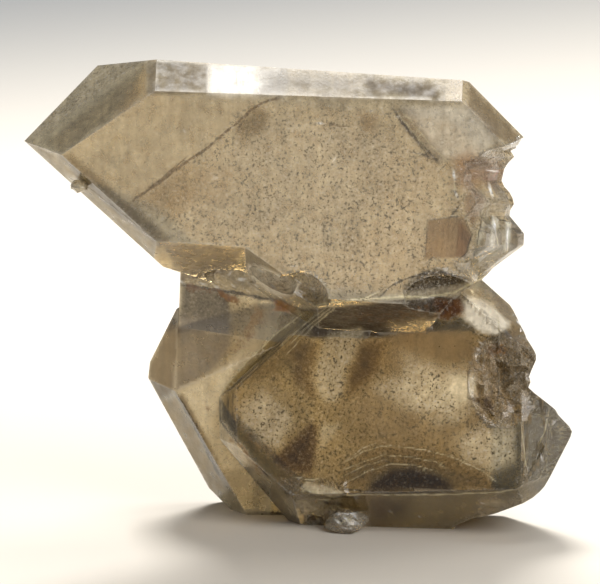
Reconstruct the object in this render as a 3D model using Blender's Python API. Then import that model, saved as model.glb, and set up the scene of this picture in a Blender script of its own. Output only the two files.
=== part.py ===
"""Smoky quartz: three crystals grown together into one piece, standing on its broken underside.

Metres, +Z up. X runs to the right along the crystals, the front looks along -Y, and the origin is
under the middle of the piece. Each crystal starts as a block that is cut by its crystal faces: the
six prism faces m, and the rhombohedral faces r and z at its ends. Breaks are cut afterwards. Places
are given in millimetres as they look from the front, from a little above the horizon.
"""

import math

import bmesh
import bpy
from mathutils import Vector, noise

MM = 0.001

# The front view that the places below are measured in, and where its zero lies: right of the
# middle, behind it and above the floor.
VIEW_RISE = math.radians(12.0)
VIEW_ZERO = (0.18, -10.75, 0.45)

# How far an end face's normal leans from the prism's side to the crystal's tip.
UPPER_TIP_LEAN = 35.0
UPPER_END_LEAN = 38.0
LOWER_END_LEAN = 38.0

# Front-to-back sizes that the view doesn't show.
UPPER_THICKNESS = 15.0
LOWER_BACK = 19.5
SIDE_BACK = 20.5
BLOCK_SIZE = 160.0

# The crystals' long axes: rise of the left end, turn of the left end to the back, lean to the back.
UPPER_AXIS = (4.0, 0.0, 0.0)
LOWER_AXIS = (-4.0, 12.0, 16.0)

# A face: name, azimuth about the long axis (0 front, 90 top), lean to the left tip, and a point on
# it as (right, up, back).
UPPER_FACES = [
    ("m_front", 0, 0, (-2.4, 36.5, 0.0)),
    ("m_top_front", 60, 1.75, (-2.4, 44.5, 0.0)),
    ("m_top_back", 114, -0.5, (-2.4, 47.1, 4.2)),
    ("m_back", 180, 0, (-2.4, 36.5, UPPER_THICKNESS)),
    ("m_under_front", 300, 0, (4.5, 24.0, 0.0)),
    ("m_under_back", 240, 0, (-9.5, 25.1, 12.5)),
    ("r_tip_top", 60, UPPER_TIP_LEAN, (-19.7, 41.35, 0.0)),
    ("r_tip_under", 300, UPPER_TIP_LEAN, (-19.0, 34.1, 0.0)),
    ("z_tip_under", 240, UPPER_TIP_LEAN, (-19.5, 30.6, 4.5)),
    ("r_tip_back", 172, 33, (-27.5, 39.6, 5.4)),
    ("z_end_top", 60, -UPPER_END_LEAN, (18.4, 41.6, 0.0)),
    ("r_end_front", 0, -UPPER_END_LEAN, (19.8, 30.0, 0.0)),
    ("z_end_under", 300, -UPPER_END_LEAN, (19.2, 26.9, 0.0)),
    ("r_end_top", 120, -UPPER_END_LEAN, (21.8, 40.2, 5.0)),
    ("z_end_back", 180, -UPPER_END_LEAN, (24.5, 35.0, 12.0)),
]
UPPER_CORNER = [("under_tip", (-27.1, 39.5, 0.0), (-11.9, 25.7, 0.0), (-27.1, 39.5, 10.0))]
UPPER_MIDDLE = (0.0, 36.0, 6.0)
LOWER_FACES = [
    ("m_front", 0, 0, (21.7, 5.1, 1.0)),
    ("m_top_front", 60, 0, (10.0, 25.0, 10.0)),
    ("m_top_back", 120, 0, (10.0, 27.0, 13.0)),
    ("m_back", 180, 0, (10.0, 14.0, LOWER_BACK)),
    ("m_under_front", 300, 0, (13.0, 4.95, 2.8)),
    ("m_under_back", 240, 0, (10.0, 0.7, 11.0)),
    ("r_tip_top", 60, LOWER_END_LEAN, (-4.2, 17.4, 10.0)),
    ("z_tip_front", 0, LOWER_END_LEAN, (-6.6, 13.0, 9.7)),
    ("r_tip_under", 300, LOWER_END_LEAN, (-3.8, 7.7, 6.0)),
    ("r_tip_back", 180, LOWER_END_LEAN, (-8.1, 13.3, 11.5)),
    ("z_end_front", 0, -LOWER_END_LEAN, (20.6, 8.0, 1.0)),
    ("r_end_top", 60, -LOWER_END_LEAN, (20.4, 23.3, 10.0)),
    ("r_end_under", 300, -LOWER_END_LEAN, (25.0, 6.1, 3.0)),
    ("r_end_back", 180, -LOWER_END_LEAN, (27.2, 10.9, 8.0)),
]

# The side crystal is too distorted for regular faces, so each of its faces runs through three points.
SIDE_MIDDLE = (-8.0, 13.0, 16.0)
SIDE_FACES = [
    ("upper_front", (-12.2, 22.1, 13.0), (-12.5, 14.9, 11.8), (-6.0, 17.8, 11.2)),
    ("lower_front", (-12.5, 14.9, 11.8), (-6.0, 17.8, 11.2), (-7.0, 5.4, 13.6)),
    ("upper_left", (-12.2, 22.1, 13.0), (-12.5, 14.9, 11.8), (-15.0, 17.8, 16.0)),
    ("lower_left", (-12.5, 14.9, 11.8), (-7.0, 5.4, 13.6), (-14.9, 15.5, 16.2)),
    ("tip_top", (-12.9, 22.0, 15.0), (-15.0, 17.8, 15.0), (-12.9, 22.0, 20.0)),
    ("tip", (-15.0, 17.8, 15.0), (-15.1, 16.9, 15.0), (-15.0, 17.8, 20.0)),
    ("tip_under", (-15.0, 15.9, 15.0), (-9.1, 5.2, 15.0), (-15.0, 15.9, 20.0)),
    ("under_left", (-9.1, 5.2, 15.0), (-7.0, 3.1, 15.0), (-9.1, 5.2, 20.0)),
    ("back", (-12.0, 22.0, SIDE_BACK), (-12.0, 8.0, SIDE_BACK), (-4.0, 12.0, SIDE_BACK)),
    ("back_right", (1.0, 9.0, 16.0), (1.5, 20.0, 16.0), (-6.0, 9.0, 21.5)),
    ("top_back", (-12.9, 22.6, 14.5), (-4.0, 24.5, 14.5), (-12.9, 20.6, 20.0)),
]
NECK_MIDDLE = (-6.0, 24.0, 14.0)
NECK_FACES = [
    ("front", (-12.0, 25.0, 11.6), (-4.0, 22.0, 10.6), (-12.0, 22.6, 12.4)),
    ("left", (-12.0, 25.6, 12.0), (-12.1, 22.6, 12.0), (-12.0, 25.6, 18.0)),
    ("back", (-12.0, 27.0, 14.0), (0.0, 27.0, 13.4), (-12.0, 20.0, 17.5)),
    ("right", (3.0, 20.0, 12.0), (3.0, 28.0, 12.0), (-3.0, 20.0, 17.5)),
    ("top", (-12.0, 27.6, 12.0), (0.0, 27.6, 12.0), (-12.0, 27.6, 18.0)),
    ("under", (-12.0, 19.0, 12.0), (0.0, 18.0, 12.0), (-12.0, 19.0, 18.0)),
]

# The outlines of the two broken right ends, as (up, right) from the bottom to the top.
UPPER_BREAK = [
    (20.0, 12.0), (24.4, 15.5), (26.0, 18.2), (27.2, 19.3), (29.5, 22.4), (30.7, 22.4), (32.6, 20.8),
    (33.6, 21.4), (34.5, 21.2), (35.7, 20.1), (37.4, 20.5), (38.4, 21.5), (38.8, 20.8), (39.4, 22.2),
    (40.2, 22.3), (42.0, 25.0), (46.0, 29.0),
]
LOWER_BREAK = [
    (-4.0, 15.0), (1.3, 15.3), (1.9, 16.3), (2.5, 19.1), (3.1, 20.8), (3.9, 22.9), (5.1, 24.3),
    (6.3, 25.0), (10.6, 27.2), (11.1, 27.2), (12.4, 25.9), (13.1, 25.5), (15.2, 22.8), (15.6, 23.1),
    (16.4, 22.9), (18.0, 23.6), (18.7, 23.6), (20.4, 22.5), (20.7, 22.5), (23.4, 21.1), (26.0, 18.2),
    (29.0, 15.0),
]

# How far the breaks' cutters reach back and up, into how many fields they are divided, and how far
# they are pushed out.
UPPER_BREAK_BACK = (-3.0, 19.0)
UPPER_BREAK_UP = (20.0, 46.0)
UPPER_BREAK_FIELDS = (16, 44)
LOWER_BREAK_BACK = (-3.0, 24.0)
LOWER_BREAK_UP = (-4.0, 29.0)
LOWER_BREAK_FIELDS = (18, 60)
CUTTER_REACH = 30.0

# The shards of the upper break, between two heights at which they fade out: how far the front ones
# slope in, within how much depth, how far they step at the front, and how much more for each mm back.
SHARDS_UP = (25.5, 40.4)
SHARDS_FADE = (2.0, 3.0)
SHARD_SIZE = 2.8
SHARD_SLOPE = 3.8
SHARD_SLOPE_DEPTH = 6.0
SHARD_LEAST = 0.2
SHARD_STEP = 1.3
SHARD_STEP_GAIN = 0.2

# The hackly middle of the lower crystal's end: its heights, how soon it fades, cells and depth.
HACKLY_UP = (14.5, 22.0)
HACKLY_FADE = 1.5
HACKLY_SIZE = 2.6
HACKLY_DEPTH = 1.6

# Shell-shaped breaks in the upper crystal's underside: place, and radii across, up and back.
UPPER_SCOOPS = [
    ("scoop_left", (-7.2, 25.5, 7.4), (2.9, 1.9, 3.4), 0),
    ("scoop_middle", (-2.8, 26.0, 4.4), (2.7, 1.8, 3.2), -12),
    ("scoop_right", (0.4, 24.8, 1.0), (2.9, 2.3, 2.4), -34),
    ("scoop_end", (14.0, 24.4, 0.5), (3.7, 2.3, 2.7), 4),
]
# Small breaks in the lower crystal: its chipped front corner, the gap beside it and a long pit.
LOWER_SCOOPS = [
    ("corner_chip", (1.0, 4.9, 3.9), (2.8, 1.1, 1.5), 8),
    ("foot_gap", (1.5, 1.5, 7.4), (1.1, 0.9, 2.2), 0),
    ("long_pit", (24.5, 10.1, 2.6), (0.5, 2.3, 0.9), -24),
]
# The hackly patch in the lower crystal's front: where, how wide and high, how deep, its cells, the
# part of its depth that it has everywhere, and the range and fields of its cutter.
PATCH_PLACE = (20.3, 15.9)
PATCH_RADII = (3.5, 4.7)
PATCH_DEPTH = 1.7
PATCH_SIZE = 0.9
PATCH_EVEN = 0.25
PATCH_RIGHT = (16.2, 24.4)
PATCH_UP = (10.8, 21.0)
PATCH_FIELDS = (22, 26)

# Small lumps grown on the outside: on the upper crystal's left edge, and at the foot.
LUMPS = [
    ("edge_lump", (-22.1, 35.4, 1.4), (0.9, 0.6, 1.1)),
    ("foot_lump", (4.7, 1.9, 6.2), (2.1, 1.25, 1.9)),
]
LUMP_UNEVENNESS = 0.35

# The break that sets the left part of the upper crystal's underside back: a place on that part, and
# three places on the break.
STEP_PLACE = (-9.5, 29.55, 0.0)
STEP_BREAK = [("break", (-5.4, 29.2, 0.0), (3.0, 23.3, 0.0), (-3.7, 24.2, 11.0))]
STEP_MIDDLE = (-12.0, 22.0, 3.0)


def seen(place):
    """The world position of a place given as mm right, mm up as it looks, and mm back."""
    right, up, back = place
    height = (up - back * math.sin(VIEW_RISE)) / math.cos(VIEW_RISE)
    return (Vector((right, back, height)) + Vector(VIEW_ZERO)) * MM


def axis_frame(rise, turn, lean):
    """The directions of a crystal's left tip, front and top."""
    rise, turn, lean = (math.radians(angle) for angle in (rise, turn, lean))
    tip = Vector((-math.cos(rise) * math.cos(turn), math.cos(rise) * math.sin(turn), math.sin(rise)))
    front = tip.cross(Vector((0.0, 0.0, 1.0))).normalized()
    if front.y > 0.0:
        front.negate()
    top = tip.cross(front)
    if top.z < 0.0:
        top.negate()
    return (
        tip,
        front * math.cos(lean) + top * math.sin(lean),
        top * math.cos(lean) - front * math.sin(lean),
    )


def face_normal(frame, azimuth, lean):
    tip, front, top = frame
    azimuth = math.radians(azimuth)
    lean = math.radians(lean)
    side = front * math.cos(azimuth) + top * math.sin(azimuth)
    return side * math.cos(lean) + tip * math.sin(lean)


def crystal_planes(axis, faces):
    frame = axis_frame(*axis)
    return [(seen(place), face_normal(frame, azimuth, lean)) for _, azimuth, lean, place in faces]


def planes_by_points(faces, middle):
    """Planes through three places each, all facing away from the middle."""
    centre = seen(middle)
    planes = []
    for _, *places in faces:
        first, second, third = (seen(place) for place in places)
        normal = (second - first).cross(third - first).normalized()
        if normal.dot(first - centre) < 0.0:
            normal.negate()
        planes.append((first, normal))
    return planes


def floor_plane():
    return (Vector((0.0, 0.0, 0.0)), Vector((0.0, 0.0, -1.0)))


def cut_away(mesh, plane):
    """Cuts off what lies in front of a plane and closes the cut."""
    point, normal = plane
    geometry = mesh.verts[:] + mesh.edges[:] + mesh.faces[:]
    cut = bmesh.ops.bisect_plane(mesh, geom=geometry, plane_co=point, plane_no=normal, clear_outer=True)
    rim = [item for item in cut["geom_cut"] if isinstance(item, bmesh.types.BMEdge)]
    if rim:
        bmesh.ops.holes_fill(mesh, edges=rim)


def cut_block(planes):
    """A block cut by planes, which keeps what lies behind each of them."""
    mesh = bmesh.new()
    bmesh.ops.create_cube(mesh, size=BLOCK_SIZE * MM)
    for plane in planes:
        cut_away(mesh, plane)
    bmesh.ops.recalc_face_normals(mesh, faces=mesh.faces[:])
    return mesh


def surface_cutter(across, upward, fields, place, direction):
    """A grid laid over two ranges, shaped by place(a, b) and pushed out into a solid."""
    mesh = bmesh.new()
    bmesh.ops.create_grid(mesh, x_segments=fields[0], y_segments=fields[1], size=0.5)
    for vertex in mesh.verts:
        first = across[0] + (vertex.co.x + 0.5) * (across[1] - across[0])
        second = upward[0] + (vertex.co.y + 0.5) * (upward[1] - upward[0])
        vertex.co = place(first, second)
    pushed = bmesh.ops.extrude_face_region(mesh, geom=mesh.faces[:])
    moved = [item for item in pushed["geom"] if isinstance(item, bmesh.types.BMVert)]
    bmesh.ops.translate(mesh, verts=moved, vec=Vector(direction) * CUTTER_REACH * MM)
    bmesh.ops.recalc_face_normals(mesh, faces=mesh.faces[:])
    return mesh


def clamp(value):
    return min(1.0, max(0.0, value))


def along(profile, value):
    """Linear reading of a list of (value, result) pairs."""
    if value <= profile[0][0]:
        return profile[0][1]
    for (low, start), (high, end) in zip(profile, profile[1:]):
        if value <= high:
            return start + (end - start) * (value - low) / (high - low)
    return profile[-1][1]


def shard(first, second, cell, seed):
    """Flat, tilted steps between 0 and 1, one to each cell of a break."""
    spot = Vector(((first + 0.25 * second) / cell, (second - 0.3 * first) / (2.2 * cell), seed))
    distances, points = noise.voronoi(spot)
    near = points[0]
    level = noise.cell(near * 7.3)
    tilt = noise.cell_vector(near * 3.1) - Vector((0.5, 0.5, 0.5))
    offset = spot - near
    return clamp(level + 1.4 * (tilt.x * offset.x + tilt.y * offset.y))


def depth_on(plane, right, up):
    """How far back a plane lies at a place of the front view."""
    point, normal = plane
    start = seen((right, up, 0.0))
    ray = seen((right, up, 1.0)) - start
    return normal.dot(point - start) / normal.dot(ray)


def upper_break_place(back, up):
    """The upper crystal's broken end: shards that slope away from its front face."""
    low, high = SHARDS_UP
    window = min(clamp((up - low) / SHARDS_FADE[0]), clamp((high - up) / SHARDS_FADE[1]))
    slope = SHARD_SLOPE * window * max(0.0, 1.0 - back / SHARD_SLOPE_DEPTH)
    step = SHARD_LEAST + window * (SHARD_STEP + SHARD_STEP_GAIN * max(0.0, back))
    inset = slope + step * shard(back, up, SHARD_SIZE, 3.7)
    return seen((along(UPPER_BREAK, up) - inset, up, back))


def lower_break_place(back, up):
    """The lower crystal's right end: smooth faces, hackly at its middle."""
    low, high = HACKLY_UP
    rough = min(clamp((up - low) / HACKLY_FADE), clamp((high - up) / HACKLY_FADE))
    inset = HACKLY_DEPTH * rough * shard(back, up, HACKLY_SIZE, 1.3)
    return seen((along(LOWER_BREAK, up) - inset, up, back))


def patch_place(right, up):
    """The hackly patch in the lower crystal's front, which fades out in front of the face."""
    faces = [face for face in LOWER_FACES if face[0] in ("m_front", "z_end_front")]
    face = max(depth_on(plane, right, up) for plane in crystal_planes(LOWER_AXIS, faces))
    across = (right - PATCH_PLACE[0]) / PATCH_RADII[0]
    upward = (up - PATCH_PLACE[1]) / PATCH_RADII[1]
    inside = 1.0 - across * across - upward * upward
    uneven = PATCH_EVEN + (1.0 - PATCH_EVEN) * shard(right, up, PATCH_SIZE, 5.9)
    depth = PATCH_DEPTH * min(1.0, 2.0 * inside) * uneven
    return seen((right, up, face + max(depth, -1.0)))


def add_object(name, mesh, collection, material=None):
    data = bpy.data.meshes.new(name)
    mesh.to_mesh(data)
    mesh.free()
    thing = bpy.data.objects.new(name, data)
    collection.objects.link(thing)
    if material:
        data.materials.append(material)
    else:
        thing.hide_render = True
        thing.display_type = "WIRE"
    return thing


def boolean(body, other, operation):
    step = body.modifiers.new(other.name, "BOOLEAN")
    step.operation = operation
    step.solver = "EXACT"
    step.object = other


def scoop(place, radii, turn):
    """A shell-shaped break: a flattened ball, as wide, high and deep as its radii."""
    mesh = bmesh.new()
    bmesh.ops.create_icosphere(mesh, subdivisions=3, radius=1.0)
    centre = seen(place)
    angle = math.radians(turn)
    for vertex in mesh.verts:
        wide, deep, high = (vertex.co.x * radii[0], vertex.co.y * radii[2], vertex.co.z * radii[1])
        vertex.co = centre + MM * Vector((
            wide * math.cos(angle) - high * math.sin(angle),
            deep,
            wide * math.sin(angle) + high * math.cos(angle),
        ))
    return mesh


def lump(place, radii):
    """A small uneven ball, flat where it meets the floor."""
    mesh = bmesh.new()
    bmesh.ops.create_icosphere(mesh, subdivisions=2, radius=1.0)
    centre = seen(place)
    for vertex in mesh.verts:
        size = 1.0 + LUMP_UNEVENNESS * noise.noise(vertex.co * 2.1 + centre * 900.0)
        reach = Vector((vertex.co.x * radii[0], vertex.co.y * radii[2], vertex.co.z * radii[1]))
        vertex.co = centre + reach * size * MM
    cut_away(mesh, floor_plane())
    return mesh


def quartz_material():
    material = bpy.data.materials.new("smoky_quartz")
    material.use_nodes = True
    shader = material.node_tree.nodes["Principled BSDF"]
    shader.inputs["Base Color"].default_value = (0.30, 0.24, 0.16, 1.0)
    shader.inputs["Roughness"].default_value = 0.12
    shader.inputs["Metallic"].default_value = 0.0
    shader.inputs["IOR"].default_value = 1.544
    shader.inputs["Transmission Weight"].default_value = 0.9
    return material


def upper_step(cutters):
    """The break along the front of the upper crystal's underside, which sets its left part back."""
    frame = axis_frame(*UPPER_AXIS)
    left_under = (seen(STEP_PLACE), -face_normal(frame, 300, 0))
    planes = [left_under] + planes_by_points(STEP_BREAK, STEP_MIDDLE)
    return add_object("upper_step", cut_block(planes), cutters)


def upper_crystal(parts, cutters):
    """The hazy crystal on top, with its breaks."""
    planes = crystal_planes(UPPER_AXIS, UPPER_FACES) + planes_by_points(UPPER_CORNER, UPPER_MIDDLE)
    crystal = add_object("quartz_cluster", cut_block(planes), parts, quartz_material())
    boolean(crystal, upper_step(cutters), "DIFFERENCE")
    right_end = surface_cutter(
        UPPER_BREAK_BACK, UPPER_BREAK_UP, UPPER_BREAK_FIELDS, upper_break_place, (1.0, 0.0, 0.0)
    )
    boolean(crystal, add_object("upper_break", right_end, cutters), "DIFFERENCE")
    for name, place, radii, turn in UPPER_SCOOPS:
        boolean(crystal, add_object(name, scoop(place, radii, turn), cutters), "DIFFERENCE")
    return crystal


def lower_crystal(cutters):
    """The clear crystal below, with its breaks and its flat underside."""
    planes = crystal_planes(LOWER_AXIS, LOWER_FACES) + [floor_plane()]
    crystal = add_object("lower_crystal", cut_block(planes), cutters)
    right_end = surface_cutter(
        LOWER_BREAK_BACK, LOWER_BREAK_UP, LOWER_BREAK_FIELDS, lower_break_place, (1.0, 0.0, 0.0)
    )
    boolean(crystal, add_object("lower_break", right_end, cutters), "DIFFERENCE")
    patch = surface_cutter(PATCH_RIGHT, PATCH_UP, PATCH_FIELDS, patch_place, (0.0, -1.0, 0.0))
    boolean(crystal, add_object("rough_patch", patch, cutters), "DIFFERENCE")
    for name, place, radii, turn in LOWER_SCOOPS:
        boolean(crystal, add_object(name, scoop(place, radii, turn), cutters), "DIFFERENCE")
    return crystal


def main():
    for thing in list(bpy.data.objects):
        bpy.data.objects.remove(thing)
    parts = bpy.data.collections.new("smoky_quartz")
    cutters = bpy.data.collections.new("growth_and_breaks")
    bpy.context.scene.collection.children.link(parts)
    bpy.context.scene.collection.children.link(cutters)

    cluster = upper_crystal(parts, cutters)
    lower = lower_crystal(cutters)
    side_planes = planes_by_points(SIDE_FACES, SIDE_MIDDLE) + [floor_plane()]
    side = add_object("side_crystal", cut_block(side_planes), cutters)
    neck = add_object("neck", cut_block(planes_by_points(NECK_FACES, NECK_MIDDLE)), cutters)
    for grown_on in (lower, side, neck):
        boolean(cluster, grown_on, "UNION")
    for name, place, radii in LUMPS:
        boolean(cluster, add_object(name, lump(place, radii), cutters), "UNION")


main()
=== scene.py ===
# Smoky quartz cluster: looks, light and camera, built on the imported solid.
import math
import bmesh
import bpy
import numpy as np
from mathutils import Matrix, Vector, noise
from mathutils.bvhtree import BVHTree


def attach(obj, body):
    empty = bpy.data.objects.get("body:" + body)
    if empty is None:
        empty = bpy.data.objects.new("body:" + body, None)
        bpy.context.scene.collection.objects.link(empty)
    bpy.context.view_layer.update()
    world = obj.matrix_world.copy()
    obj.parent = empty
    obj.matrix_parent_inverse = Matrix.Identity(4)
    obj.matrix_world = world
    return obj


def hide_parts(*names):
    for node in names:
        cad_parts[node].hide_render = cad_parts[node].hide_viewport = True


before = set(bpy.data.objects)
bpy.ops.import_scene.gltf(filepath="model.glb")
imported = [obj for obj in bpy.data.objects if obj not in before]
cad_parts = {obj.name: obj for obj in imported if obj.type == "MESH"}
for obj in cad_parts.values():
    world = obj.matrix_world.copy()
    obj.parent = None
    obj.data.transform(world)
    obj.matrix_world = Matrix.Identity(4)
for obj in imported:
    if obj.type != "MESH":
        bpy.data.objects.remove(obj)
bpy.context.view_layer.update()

mm = 0.001  # sizes below are in millimetres, Blender's unit is the metre


# sRGB hex to linear: the one way colours are written here
def linear(hexColour):
    parts = [int(hexColour[i:i + 2], 16) / 255 for i in (1, 3, 5)]
    return (*[c / 12.92 if c <= 0.04045 else ((c + 0.055) / 1.055) ** 2.4 for c in parts], 1.0)


# sets a node's inputs to values, to other nodes' outputs, or to other nodes for their first output
def feed(made, inputs):
    for name, value in inputs.items():
        if isinstance(value, bpy.types.Node):
            value = next(socket for socket in value.outputs if socket.enabled)
        if isinstance(value, bpy.types.NodeSocket):
            made.id_data.links.new(value, made.inputs[name])
        else:
            made.inputs[name].default_value = value


# adds a node with its settings; a kind without the word Node is a shader node
def node(tree, kind, inputs=None, **settings):
    made = tree.nodes.new(kind if "Node" in kind else "ShaderNode" + kind)
    for name, value in settings.items():
        setattr(made, name, value)
    feed(made, inputs or {})
    return made


def newMaterial(name):
    mat = bpy.data.materials.new(name)
    mat.use_nodes = True
    return mat


def newObject(name, data):
    obj = bpy.data.objects.new(name, data)
    bpy.context.scene.collection.objects.link(obj)
    return obj


# the photo's measures: right and up in the picture, back behind the front face, all in mm
photo = {
    "rise": math.radians(12),  # how far the camera looks down
    "zero": Vector((0.18, -10.75, 0.45)),  # the point they are measured from
}
towardsCamera = (0, -math.cos(photo["rise"]), math.sin(photo["rise"]))


def place(right, up, back):
    high = (up - back * math.sin(photo["rise"])) / math.cos(photo["rise"])
    return (photo["zero"] + Vector((right, back, high))) * mm


# right and up of points, and how far back they are
def photoPlaces(points):
    p = points / mm - np.array(photo["zero"])
    up = p[:, 2] * math.cos(photo["rise"]) + p[:, 1] * math.sin(photo["rise"])
    return np.stack([p[:, 0], up], axis=1), p[:, 1]


# the crystals' quartz and mesh, in mm
quartz = {
    "ior": 1.544,
    "smoke": (0.646, 0.560, 0.37, 1),  # what each metre lets through, with the density below
    "density": 240.0,
    "cell": 0.38,  # grid on the faces that carries the tones
    "cellDeep": 1.0,  # and its step from front to back
    "quickCell": 1.2,
    "sharp": 24,  # degrees, edges above this stay crisp
    "chipSharp": 3,  # the same for the foot lump, whose facets stay flat
    "wornAngle": 14,  # degrees, edges above this are painted pale, as wear and as a painted edge highlight
    "wornEdge": 0.05,  # the long edges are worn flat this far in
    "longEdge": 2.0,  # edges from this length count as long
    "chip": [2.6, 2.9, 6.8, 2.9, 6.8, 0.4, 2.6, 0.4],  # the foot lump
    "brokenBelow": 1.3,  # mm2, the solid's facets below this are broken surfaces
}

# where one crystal ends and the next begins
seams = {
    "height": 21.1, "backwards": 0.355, "backFrom": 6,  # under the upper one, with its slopes
    "across": -0.05, "acrossFrom": 10,
    "soft": 0.15,
    "side": [(-2.9, 0), (-2.9, 3), (-2.8, 6.8), (-7.9, 12.1), (-7.9, 14.4), (-2.4, 20.4), (-1, 26)],
}

# tone, haze, frost and specks of each crystal before its zones
crystals = {
    "upper": {"tone": "#E8D6AE", "haze": 0.38, "frost": 0.24, "specks": 0.85},
    "lower": {"tone": "#BAA677", "haze": 0.16, "frost": 0.07, "specks": 0.9},
    "side": {"tone": "#CFC2A3", "haze": 0.34, "frost": 0.30, "specks": 0.15},
}

# what is left of these on the faces that the photo doesn't show
unseen = {"haze": 0.18, "frost": 0.25, "specks": 0.15}

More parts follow.
